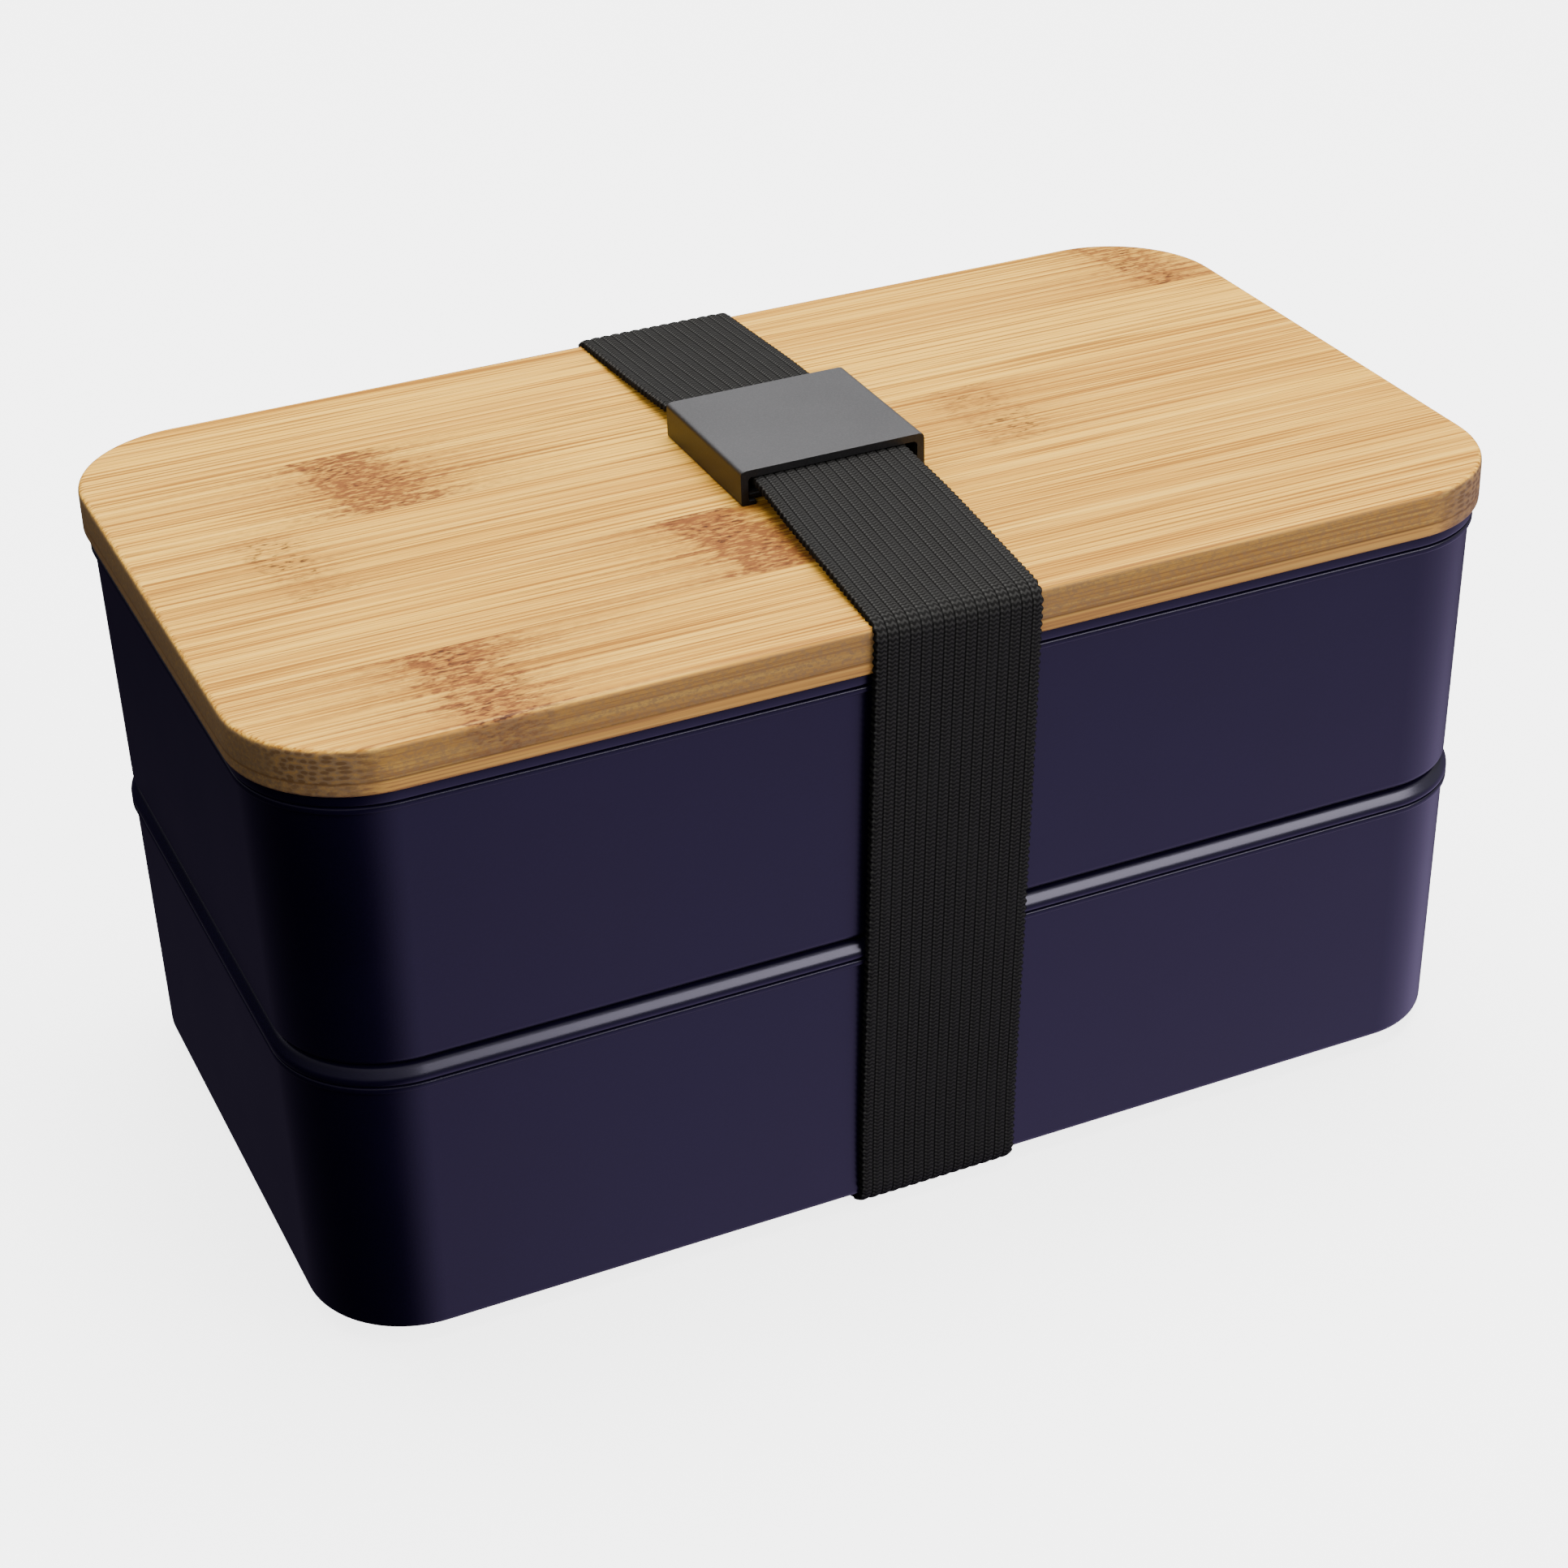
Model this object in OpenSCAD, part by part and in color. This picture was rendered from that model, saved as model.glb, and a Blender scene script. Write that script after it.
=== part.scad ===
/* [Overall size] */
// Outside length of the bamboo lid, along X
lid_length = 185; // [175:1:200]
// Outside width of the bamboo lid, along Y
lid_width = 105; // [98:1:115]
// Radius of the bamboo lid's corners, seen from above
corner_radius = 17.7; // [15:0.1:22]

/* [Bamboo lid] */
// Thickness of the whole glued bamboo board
board_thickness = 6.8; // [5:0.1:9]
// Thickness of the thin layer glued under the strips
under_layer_thickness = 2; // [1:0.1:3]
// Number of strips glued side by side in the top layer
strip_count = 5; // [5:1:5]
// Rounding of the board's top and bottom edges
board_edge_radius = 1; // [0.4:0.1:1.5]

/* [Tiers] */
// Height of the lower tier, from the edge under its wall to its rim
lower_tier_height = 41.1; // [35:0.1:50]
// Height of the upper tier, from the edge under its wall to its rim
upper_tier_height = 39.6; // [35:0.1:50]
// How far the upper tier's rim lies inside the bamboo lid's edge
upper_rim_inset = 0.7; // [0.5:0.1:2]
// How much smaller the lower tier is than the upper tier, on each side
lower_tier_inset = 0.6; // [0:0.1:1.5]
// How far each wall leans in from its top to its bottom
wall_draft = 0.7; // [0.3:0.1:1.5]
// Thickness of the moulded walls
wall_thickness = 1.6; // [1.2:0.1:2.5]
// Thickness of the tier floors
floor_thickness = 1.8; // [1.2:0.1:3]
// Height of the rim that runs round the top of each tier
rim_height = 0.9; // [0.6:0.1:2]
// How far the rim stands out from the wall
rim_reach = 0.5; // [0.3:0.1:1.5]
// Radius of the rounded corner between a tier's wall and its floor, inside
inner_fillet = 5; // [2:0.5:8]
// Rounding of the outer edge under each wall
outer_fillet = 0.8; // [0.4:0.1:2]
// Height of the foot that runs round under each tier
foot_depth = 1.2; // [0.8:0.1:2]
// How far the foot lies inside the wall above it
foot_inset = 2.2; // [1.5:0.1:4]
// Width of the foot
foot_width = 2.4; // [1.5:0.1:4]

/* [Sealing lids] */
// Height of the rounded band that shows round the middle lid
middle_band_height = 2.5; // [1.8:0.1:4]
// Height of the slanting shoulder along that band's top edge
shoulder_height = 1.6; // [0.8:0.1:1.8]
// How far that shoulder leans in
shoulder_reach = 1.1; // [0.5:0.1:1.5]
// Height of the band that shows under the bamboo board
top_band_height = 1.7; // [1.2:0.1:3]
// Thickness of the middle lid's panel, on which the upper tier stands
middle_panel_thickness = 1.7; // [1.2:0.1:2.2]
// How deep a sealing lid's plug reaches into its tier
plug_depth = 4.4; // [3:0.1:8]
// Width of the plug's ring, from its inner to its outer face
plug_width = 2.6; // [2:0.1:4]
// Height of the groove that holds the silicone seal
groove_height = 2.2; // [1.5:0.1:3]
// Depth of that groove
groove_depth = 1.2; // [0.8:0.1:1.8]
// Height of the groove's lower edge above the plug's tip
groove_lift = 1.1; // [0.8:0.1:1.5]
// How far a plug runs clear of its tier's wall
plug_gap = 0.5; // [0.3:0.1:1]
// How far the seal's lips stand out from the plug
seal_lip_reach = 0.15; // [0.1:0.05:0.3]

/* [Elastic band] */
// Width of the elastic band
band_width = 24.5; // [20:0.5:30]
// Thickness of the elastic band
band_thickness = 1.2; // [0.8:0.1:2]
// How far the band lies off the middle of the box, along X
band_offset = 3.4; // [0:0.1:5]
// Inner radius of the band where it bends over the lid's edge
band_bend_radius = 1; // [0.6:0.1:3]

/* [Buckle] */
// Width of the buckle, across the band
buckle_width = 28.4; // [28:0.1:34]
// Length of the buckle, along the band
buckle_length = 26.5; // [22:0.5:36]
// Height of the buckle above the bamboo lid
buckle_height = 5.3; // [5.3:0.1:8]
// Thickness of the buckle's walls
buckle_wall = 1.1; // [1:0.1:1.2]
// How far the buckle's middle lies behind the lid's middle
buckle_back = 1.5; // [0:0.1:10]

/* [Hidden] */
$fn = 72;
tiny_gap = 0.1;
seam_gap = 0.2;
running_gap = 0.3;
edge_break = 0.3;
cutting_spare = 1;

// Centre of the corner arcs, which every piece shares
corner_x = lid_length / 2 - corner_radius;
corner_y = lid_width / 2 - corner_radius;

// Distances from the corner centres to the outer faces of the tiers
upper_rim_r = corner_radius - upper_rim_inset;
lower_rim_r = upper_rim_r - lower_tier_inset;
middle_band_r = lower_rim_r;

// Heights, from the floor up
foot_z = band_thickness;
lower_z = foot_z + foot_depth;
lower_rim_z = lower_z + lower_tier_height;
middle_lid_z = lower_rim_z + seam_gap;
upper_z = middle_lid_z + middle_panel_thickness + tiny_gap + foot_depth;
upper_rim_z = upper_z + upper_tier_height;
lid_base_z = upper_rim_z + seam_gap;
board_z = lid_base_z + top_band_height;
board_top_z = board_z + board_thickness;

// Heights and reach of the elastic band
band_leg_y = lid_width / 2 + tiny_gap;
band_knee_z = middle_lid_z + middle_band_height / 2;
band_knee_y = corner_y + middle_band_r + running_gap;
band_low_y = corner_y + lower_rim_r - rim_reach - wall_draft + running_gap;
bottom_run_rise = 4;
band_low_z = lower_z + bottom_run_rise;
band_leg_z = lid_base_z + seam_gap;
run_height = (band_leg_z - band_low_z) / 3;
band_seam_1 = band_low_z + run_height;
band_seam_2 = band_low_z + 2 * run_height;

// How far each end of the band reaches past the middle of the lid, inside the buckle
band_overlap = 9;

// Inside of the buckle: the lips along the cover's sides, and the plate that lies on them
lip_height = 0.6;
lip_reach = 1.2;
buckle_plate = 1;
plate_inset = 0.5;
buckle_floor_z = board_top_z + lip_height + tiny_gap / 2 + buckle_plate;

// Points along an arc round [x, y], from one angle to another
function arc(x, y, radius, from, to, steps) = [
    for (i = [0 : steps])
        let (angle = from + (to - from) * i / steps)
        [x + radius * cos(angle), y + radius * sin(angle)]
];

// The same points, last one first
function backwards(points) = [for (i = [len(points) - 1 : -1 : 0]) points[i]];

// Sweeps a section round the box: each point is [distance outside the corner centres, height]
module sweep(section) {
    for (across = [0, 1], along = [0, 1])
        mirror([across, 0, 0])
            mirror([0, along, 0])
                translate([corner_x, corner_y, 0])
                    rotate_extrude(angle = 90)
                        polygon(section);
    for (side = [0, 1]) {
        mirror([0, side, 0])
            translate([-corner_x, corner_y, 0])
                rotate([90, 0, 90])
                    linear_extrude(2 * corner_x)
                        polygon(section);
        mirror([side, 0, 0])
            translate([corner_x, corner_y, 0])
                rotate([90, 0, 0])
                    linear_extrude(2 * corner_y)
                        polygon(section);
    }
}

// Fills the rectangle between the corner centres, from one height to another
module core(low, high) {
    translate([-corner_x, -corner_y, low])
        cube([2 * corner_x, 2 * corner_y, high - low]);
}

// The bamboo board's whole outline, with rounded top and bottom edges
module board() {
    inset = corner_radius - board_edge_radius;
    low = board_z + board_edge_radius;
    high = board_top_z - board_edge_radius;
    section = concat(
        [[0, board_z]],
        arc(inset, low, board_edge_radius, -90, 0, 4),
        arc(inset, high, board_edge_radius, 0, 90, 4),
        [[0, board_top_z]]
    );
    sweep(section);
    core(board_z, board_top_z);
}

// One strip of the board's top layer, counted from the front
module bamboo_strip(number) {
    strip_width = lid_width / strip_count;
    reach = lid_length / 2 + cutting_spare;
    spare_front = number == 1 ? cutting_spare : 0;
    spare_back = number == strip_count ? cutting_spare : 0;
    front = -lid_width / 2 + (number - 1) * strip_width - spare_front;
    color("burlywood")
        intersection() {
            board();
            translate([-reach, front, board_z + under_layer_thickness])
                cube([2 * reach, strip_width + spare_front + spare_back, board_thickness]);
        }
}

// The thin layer under the strips
module bamboo_under_layer() {
    reach_x = lid_length / 2 + cutting_spare;
    reach_y = lid_width / 2 + cutting_spare;
    color("tan")
        intersection() {
            board();
            translate([-reach_x, -reach_y, board_z - cutting_spare])
                cube([2 * reach_x, 2 * reach_y, cutting_spare + under_layer_thickness]);
        }
}

// A moulded tier: open box with a rim round its top and a foot round its underside
module tier(base_z, height, rim_r) {
    wall_top_r = rim_r - rim_reach;
    wall_low_r = wall_top_r - wall_draft;
    foot_out = wall_low_r - foot_inset;
    foot_in = foot_out - foot_width;
    inner_low_r = wall_low_r - wall_thickness;
    rim_low = height - rim_height;
    section = concat(
        [[0, 0], [foot_in, 0], [foot_in, -foot_depth], [foot_out, -foot_depth], [foot_out, 0]],
        arc(wall_low_r - outer_fillet, outer_fillet, outer_fillet, -90, 0, 3),
        [[wall_top_r, rim_low], [rim_r, rim_low]],
        [[rim_r, height - edge_break], [rim_r - edge_break, height]],
        [[wall_top_r - wall_thickness, height]],
        arc(inner_low_r - inner_fillet, floor_thickness + inner_fillet, inner_fillet, 0, -90, 6),
        [[0, floor_thickness]]
    );
    translate([0, 0, base_z]) {
        sweep(section);
        core(0, floor_thickness);
    }
}

module lower_tier() {
    color("midnightblue")
        tier(lower_z, lower_tier_height, lower_rim_r);
}

module upper_tier() {
    color("midnightblue")
        tier(upper_z, upper_tier_height, upper_rim_r);
}

// Distance from the corner centres to a plug's outer face, for the rim it fits into
function plug_r(rim_r) = rim_r - rim_reach - wall_thickness - plug_gap;

// Section of the plug under a sealing lid, with the groove for its seal
function plug_points(rim_r) =
    let (outer = plug_r(rim_r), groove = outer - groove_depth, inner = outer - plug_width)
    let (groove_low = -plug_depth + groove_lift, groove_high = groove_low + groove_height)
    [
        [0, 0],
        [inner, 0],
        [inner, -plug_depth],
        [outer - edge_break, -plug_depth],
        [outer, -plug_depth + edge_break],
        [outer, groove_low],
        [groove, groove_low],
        [groove, groove_high],
        [outer, groove_high],
        [outer, 0]
    ];

// The lid between the tiers: a plug below, and a raised border above that keeps the upper tier in place
module middle_lid() {
    shoulder_z = middle_band_height - shoulder_height;
    upper_foot_out = upper_rim_r - rim_reach - wall_draft - foot_inset;
    border_in = upper_foot_out + running_gap;
    section = concat(
        plug_points(lower_rim_r),
        [[middle_band_r - edge_break, 0], [middle_band_r, edge_break]],
        [[middle_band_r, shoulder_z], [middle_band_r - shoulder_reach, middle_band_height]],
        [[border_in, middle_band_height], [border_in, middle_panel_thickness], [0, middle_panel_thickness]]
    );
    color("midnightblue")
        translate([0, 0, middle_lid_z]) {
            sweep(section);
            core(0, middle_panel_thickness);
        }
}

// The moulded base under the bamboo board, with a plug that closes the upper tier
module lid_base() {
    section = concat(
        plug_points(upper_rim_r),
        [[upper_rim_r - edge_break, 0], [upper_rim_r, edge_break]],
        [[upper_rim_r, top_band_height], [0, top_band_height]]
    );
    color("midnightblue")
        translate([0, 0, lid_base_z]) {
            sweep(section);
            core(0, top_band_height);
        }
}

// A silicone ring with two lips, in the groove of a plug
module seal(base_z, rim_r) {
    corner_inset = 0.2;
    waist_inset = 0.3;
    lip_from_end = 0.4;
    outer = plug_r(rim_r);
    back = outer - groove_depth + tiny_gap;
    lip = outer + seal_lip_reach;
    low = -plug_depth + groove_lift + tiny_gap;
    high = low + groove_height - 2 * tiny_gap;
    section = [
        [back, low],
        [outer - corner_inset, low],
        [lip, low + lip_from_end],
        [outer - waist_inset, (low + high) / 2],
        [lip, high - lip_from_end],
        [outer - corner_inset, high],
        [back, high]
    ];
    color("gainsboro")
        translate([0, 0, base_z])
            sweep(section);
}

module middle_lid_seal() {
    seal(middle_lid_z, lower_rim_r);
}

module lid_seal() {
    seal(lid_base_z, upper_rim_r);
}

// Extrudes a band outline, drawn as [distance from the middle along Y, height], over the band's width
module band_piece(outline) {
    color("dimgray")
        translate([band_offset - band_width / 2, 0, 0])
            rotate([90, 0, 90])
                linear_extrude(band_width)
                    polygon(outline);
}

// How far out the band's inner face is at a height
function band_y(z) = z > band_knee_z
    ? band_knee_y + (band_leg_y - band_knee_y) * (z - band_knee_z) / (band_leg_z - band_knee_z)
    : band_low_y + (band_knee_y - band_low_y) * (z - band_low_z) / (band_knee_z - band_low_z);

// A stretch of the band down one side of the box, through the heights given
module side_run(heights) {
    inner = [for (z = heights) [band_y(z), z]];
    outer = [for (z = heights) [band_y(z) + band_thickness, z]];
    band_piece(concat(inner, backwards(outer)));
}

module upper_run() {
    side_run([band_seam_2 + tiny_gap, band_leg_z - seam_gap]);
}

module middle_run() {
    side_run([band_seam_1 + tiny_gap, band_knee_z, band_seam_2 - tiny_gap]);
}

module lower_run() {
    side_run([band_low_z, band_seam_1 - tiny_gap]);
}

module band_back_upper() {
    upper_run();
}

module band_back_middle() {
    middle_run();
}

module band_back_lower() {
    lower_run();
}

module band_front_upper() {
    mirror([0, 1, 0])
        upper_run();
}

module band_front_middle() {
    mirror([0, 1, 0])
        middle_run();
}

module band_front_lower() {
    mirror([0, 1, 0])
        lower_run();
}

// One end of the band: up past the lid's edge, over it, and straight into the buckle
module band_end(mouth_y, end_y, raised_z) {
    bend_y = band_leg_y - band_bend_radius;
    bend_z = board_top_z - band_bend_radius;
    outer_radius = band_bend_radius + band_thickness;
    inner = concat(
        [[band_leg_y, band_leg_z]],
        arc(bend_y, bend_z, band_bend_radius, 0, 90, 5),
        [[mouth_y, raised_z], [end_y, raised_z]]
    );
    outer = concat(
        [[band_leg_y + band_thickness, band_leg_z]],
        arc(bend_y, bend_z, outer_radius, 0, 90, 5),
        [[mouth_y, raised_z + band_thickness], [end_y, raised_z + band_thickness]]
    );
    band_piece(concat(inner, backwards(outer)));
}

// The back end lies against the buckle's base
module band_back_end() {
    mouth = buckle_length / 2 + buckle_back;
    band_end(mouth, -band_overlap, buckle_floor_z);
}

// The front end lies over the back end
module band_front_end() {
    mouth = buckle_length / 2 - buckle_back;
    mirror([0, 1, 0])
        band_end(mouth, -band_overlap, buckle_floor_z + band_thickness + tiny_gap / 2);
}

// The part of the band that runs under the box, on which the box stands
module band_bottom() {
    slant = 0.7;
    landing = 0.4;
    flare = 1;
    foot_y = band_low_y - running_gap - foot_inset;
    outer_y = band_low_y + band_thickness;
    inner = [
        [band_low_y, band_low_z - tiny_gap],
        [band_low_y, lower_z + outer_fillet],
        [band_low_y - slant, lower_z - running_gap],
        [foot_y + landing, foot_z]
    ];
    outer = [
        [outer_y, band_low_z - tiny_gap],
        [outer_y, lower_z + running_gap],
        [band_low_y + running_gap, lower_z - running_gap - band_thickness],
        [foot_y + landing + flare, 0]
    ];
    flipped_inner = [for (p = inner) [-p[0], p[1]]];
    flipped_outer = [for (p = outer) [-p[0], p[1]]];
    band_piece(concat(inner, backwards(flipped_inner), flipped_outer, backwards(outer)));
}

// The cover of the buckle: a sleeve with a lip along each side that holds the base
module buckle_cover() {
    half = buckle_width / 2;
    inner = half - buckle_wall;
    ceiling = buckle_height - buckle_wall;
    top_round = 1;
    right = concat(
        [[inner - lip_reach, lip_height], [inner - lip_reach, 0], [half - edge_break, 0], [half, edge_break]],
        arc(half - top_round, buckle_height - top_round, top_round, 0, 90, 4)
    );
    right_inside = [[inner, ceiling], [inner, lip_height]];
    left = [for (p = backwards(right)) [-p[0], p[1]]];
    left_inside = [for (p = backwards(right_inside)) [-p[0], p[1]]];
    color("dimgray")
        translate([band_offset, buckle_length / 2 + buckle_back, board_top_z])
            rotate([90, 0, 0])
                linear_extrude(buckle_length)
                    polygon(concat(right, left, left_inside, right_inside));
}

// The plate on the cover's lips, under the ends of the band
module buckle_base() {
    width = buckle_width - 2 * buckle_wall - 2 * tiny_gap;
    length = buckle_length - 2 * plate_inset;
    color("dimgray")
        translate([
            band_offset - width / 2,
            buckle_back - length / 2,
            board_top_z + lip_height + tiny_gap / 2
        ])
            cube([width, length, buckle_plate]);
}

bamboo_strip(1);  // bamboo_strip_1
bamboo_strip(2);  // bamboo_strip_2
bamboo_strip(3);  // bamboo_strip_3
bamboo_strip(4);  // bamboo_strip_4
bamboo_strip(5);  // bamboo_strip_5
bamboo_under_layer();
lid_base();
lid_seal();
upper_tier();
middle_lid();
middle_lid_seal();
lower_tier();
buckle_cover();
buckle_base();
band_front_end();
band_back_end();
band_front_upper();
band_front_middle();
band_front_lower();
band_back_upper();
band_back_middle();
band_back_lower();
band_bottom();
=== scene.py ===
import math

import bmesh
import bpy
import numpy as np
from mathutils import Matrix, Vector


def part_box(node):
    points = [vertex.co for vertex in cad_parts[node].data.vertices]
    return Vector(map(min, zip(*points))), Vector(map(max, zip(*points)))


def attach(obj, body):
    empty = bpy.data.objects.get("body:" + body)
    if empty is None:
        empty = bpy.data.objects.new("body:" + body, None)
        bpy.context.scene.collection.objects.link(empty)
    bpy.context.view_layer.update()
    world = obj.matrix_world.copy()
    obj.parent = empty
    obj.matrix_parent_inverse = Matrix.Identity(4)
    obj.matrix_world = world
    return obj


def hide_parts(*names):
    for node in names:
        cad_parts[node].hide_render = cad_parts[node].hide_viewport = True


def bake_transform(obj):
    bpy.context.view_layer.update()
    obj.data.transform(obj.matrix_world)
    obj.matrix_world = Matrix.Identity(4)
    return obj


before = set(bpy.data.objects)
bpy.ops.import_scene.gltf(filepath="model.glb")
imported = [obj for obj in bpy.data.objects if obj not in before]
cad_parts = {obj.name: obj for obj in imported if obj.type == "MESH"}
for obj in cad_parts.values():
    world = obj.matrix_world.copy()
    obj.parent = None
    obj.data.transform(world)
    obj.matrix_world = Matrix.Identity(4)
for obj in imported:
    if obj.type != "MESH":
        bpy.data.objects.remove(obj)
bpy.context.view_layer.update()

MM = 0.001

# Shape of the box, in metres, as in the CAD model or a hair inside it
CORNER_RADIUS = 17.7 * MM
UNDER_LAYER = 2.0 * MM
STRIP_COUNT = 5
WALL_THICKNESS = 1.6 * MM
WALL_DRAFT = 0.7 * MM
FLOOR_THICKNESS = 1.8 * MM
RIM_HEIGHT = 0.9 * MM
RIM_REACH = 0.5 * MM
FOOT_DEPTH = 1.2 * MM
FOOT_INSET = 2.2 * MM
FOOT_WIDTH = 2.4 * MM
INNER_FILLET = 5.0 * MM
PLUG_DEPTH = 4.4 * MM
PLUG_WIDTH = 2.6 * MM
PLUG_GAP = 0.5 * MM
GROOVE_DEPTH = 1.2 * MM
GROOVE_HEIGHT = 2.2 * MM
GROOVE_FROM_TIP = 1.1 * MM
MIDDLE_PANEL = 1.7 * MM
SHOULDER_HEIGHT = 1.6 * MM
SHOULDER_REACH = 1.1 * MM
BAND_THICKNESS = 1.18 * MM
BAND_BEND = 1.0 * MM
RIB_COUNT = 15
RIB_RELIEF = 0.24 * MM
SAMPLES_PER_RIB = 6
EDGE_BEAD = 1.15 * MM
EDGE_SCALLOP = 0.32 * MM
EDGE_SHARPNESS = 14
BUCKLE_WALL = 1.1 * MM
LIP_HEIGHT = 0.6 * MM
LIP_REACH = 1.2 * MM

# Points along each corner and each straight stretch of the plan
CORNER_STEPS = 22
STRAIGHT_STEPS = 6

# A rounding takes at most this share of the sides that it joins
ROUNDING_SHARE = 0.48

# Points closer together than this are joined
WELD_DISTANCE = 0.001 * MM


# ---------------------------------------------------------------- places

def nodes_box(*names):
    """Lowest and highest corner of several CAD nodes together."""
    boxes = [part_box(name) for name in names]
    low = Vector([min(b[0][i] for b in boxes) for i in range(3)])
    high = Vector([max(b[1][i] for b in boxes) for i in range(3)])
    return low, high


STRIPS = [f"bamboo_strip_{i + 1}" for i in range(STRIP_COUNT)]
board_low, board_high = nodes_box(*STRIPS, "bamboo_under_layer")
corner_x = board_high.x - CORNER_RADIUS
corner_y = board_high.y - CORNER_RADIUS


# ---------------------------------------------------------------- meshes

def rounded(points, steps):
    """A section [(reach, height, rounding)] with its corners rounded, as [(reach, height)]."""
    out = []
    for i, (reach, height, rounding) in enumerate(points):
        here = np.array((reach, height))
        if rounding == 0 or i in (0, len(points) - 1):
            out.append(tuple(here))
            continue
        before = np.array(points[i - 1][:2]) - here
        after = np.array(points[i + 1][:2]) - here
        length_before = np.linalg.norm(before)
        length_after = np.linalg.norm(after)
        cut = min(rounding, ROUNDING_SHARE * length_before, ROUNDING_SHARE * length_after)
        start = here + before / length_before * cut
        end = here + after / length_after * cut
        for t in np.linspace(0, 1, steps + 1):
            out.append(tuple(start * (1 - t) ** 2 + here * 2 * t * (1 - t) + end * t**2))
    return out


def outline():
    """Corner centre and outward direction of each point round the box's plan."""
    spots = []
    for quarter in range(4):
        centre = plan_corner(quarter)
        for i in range(CORNER_STEPS + 1):
            angle = math.radians(90 * (quarter + i / CORNER_STEPS))
            spots.append((*centre, math.cos(angle), math.sin(angle)))
        following = plan_corner(quarter + 1)
        angle = math.radians(90 * (quarter + 1))
        for i in range(1, STRAIGHT_STEPS):
            t = i / STRAIGHT_STEPS
            x = centre[0] * (1 - t) + following[0] * t
            y = centre[1] * (1 - t) + following[1] * t
            spots.append((x, y, math.cos(angle), math.sin(angle)))
    return spots


def plan_corner(quarter):
    signs = [(1, 1), (-1, 1), (-1, -1), (1, -1)][quarter % 4]
    return signs[0] * corner_x, signs[1] * corner_y


def finish_mesh(name, bm, crease_degrees=38):
    """Turns a bmesh into an object with smooth shading and sharp creases."""
    bmesh.ops.recalc_face_normals(bm, faces=bm.faces)
    mesh = bpy.data.meshes.new(name)
    bm.to_mesh(mesh)
    bm.free()
    mesh.shade_smooth()
    mesh.set_sharp_from_angle(angle=math.radians(crease_degrees))
    obj = bpy.data.objects.new(name, mesh)
    bpy.context.collection.objects.link(obj)
    return obj


def swept(name, section, ring_section=False):
    """Sweeps a section round the plan. A ring section closes on itself; any other is filled in the middle."""
    spots = outline()
    count = len(spots)
    bm = bmesh.new()
    rings = []
    for reach, height in section:
        rings.append([bm.verts.new((x + reach * dx, y + reach * dy, height)) for x, y, dx, dy in spots])
    pairs = list(zip(rings[:-1], rings[1:]))
    if ring_section:
        pairs.append((rings[-1], rings[0]))
    for lower, upper in pairs:
        for i in range(count):
            j = (i + 1) % count
            bm.faces.new((lower[i], lower[j], upper[j], upper[i]))
    if not ring_section:
        bm.faces.new(rings[0])
        bm.faces.new(rings[-1])
    bmesh.ops.remove_doubles(bm, verts=bm.verts, dist=WELD_DISTANCE)
    return finish_mesh(name, bm)


def make_board():
    top_round = 1.0 * MM
    under_round = 0.7 * MM
    section = rounded([
        (0, board_low.z, 0),
        (CORNER_RADIUS, board_low.z, under_round),
        (CORNER_RADIUS, board_high.z, top_round),
        (0, board_high.z, 0),
    ], steps=6)
    return swept("bamboo_board", section)


def make_tier(node):
    low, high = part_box(node)
    base = low.z + FOOT_DEPTH
    rim = high.x - corner_x
    wall = rim - RIM_REACH
    wall_low = wall - WALL_DRAFT
    foot_out = wall_low - FOOT_INSET
    foot_in = foot_out - FOOT_WIDTH
    inner_top = wall - WALL_THICKNESS
    inner_low = wall_low - WALL_THICKNESS
    floor = base + FLOOR_THICKNESS
    rim_low = high.z - RIM_HEIGHT
    foot_round = 0.3 * MM
    wall_foot_round = 1.0 * MM
    wall_top_round = 0.15 * MM
    rim_under_round = 0.25 * MM
    rim_top_round = 0.35 * MM
    mouth_round = 0.3 * MM
    section = rounded([
        (0, base, 0),
        (foot_in, base, foot_round),
        (foot_in, low.z, foot_round),
        (foot_out, low.z, foot_round),
        (foot_out, base, foot_round),
        (wall_low, base, wall_foot_round),
        (wall, rim_low, wall_top_round),
        (rim, rim_low, rim_under_round),
        (rim, high.z, rim_top_round),
        (inner_top, high.z, mouth_round),
        (inner_low, floor, INNER_FILLET),
        (0, floor, 0),
    ], steps=6)
    return swept(node + "_shell", section)


def plug_section(rim):
    """The plug's points, from the middle of a sealing lid out to the face of its band."""
    outer = rim - RIM_REACH - WALL_THICKNESS - PLUG_GAP
    groove = outer - GROOVE_DEPTH
    inner = outer - PLUG_WIDTH
    low = -PLUG_DEPTH + GROOVE_FROM_TIP
    high = low + GROOVE_HEIGHT
    root_round = 0.8 * MM
    tip_inner_round = 0.4 * MM
    tip_outer_round = 0.5 * MM
    groove_round = 0.15 * MM
    seam_round = 0.2 * MM
    return [
        (0, 0, 0),
        (inner, 0, root_round),
        (inner, -PLUG_DEPTH, tip_inner_round),
        (outer, -PLUG_DEPTH, tip_outer_round),
        (outer, low, groove_round),
        (groove, low, groove_round),
        (groove, high, groove_round),
        (outer, high, groove_round),
        (outer, 0, seam_round),
    ]


def lifted(points, height):
    return [(reach, z + height, rounding) for reach, z, rounding in points]


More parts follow.
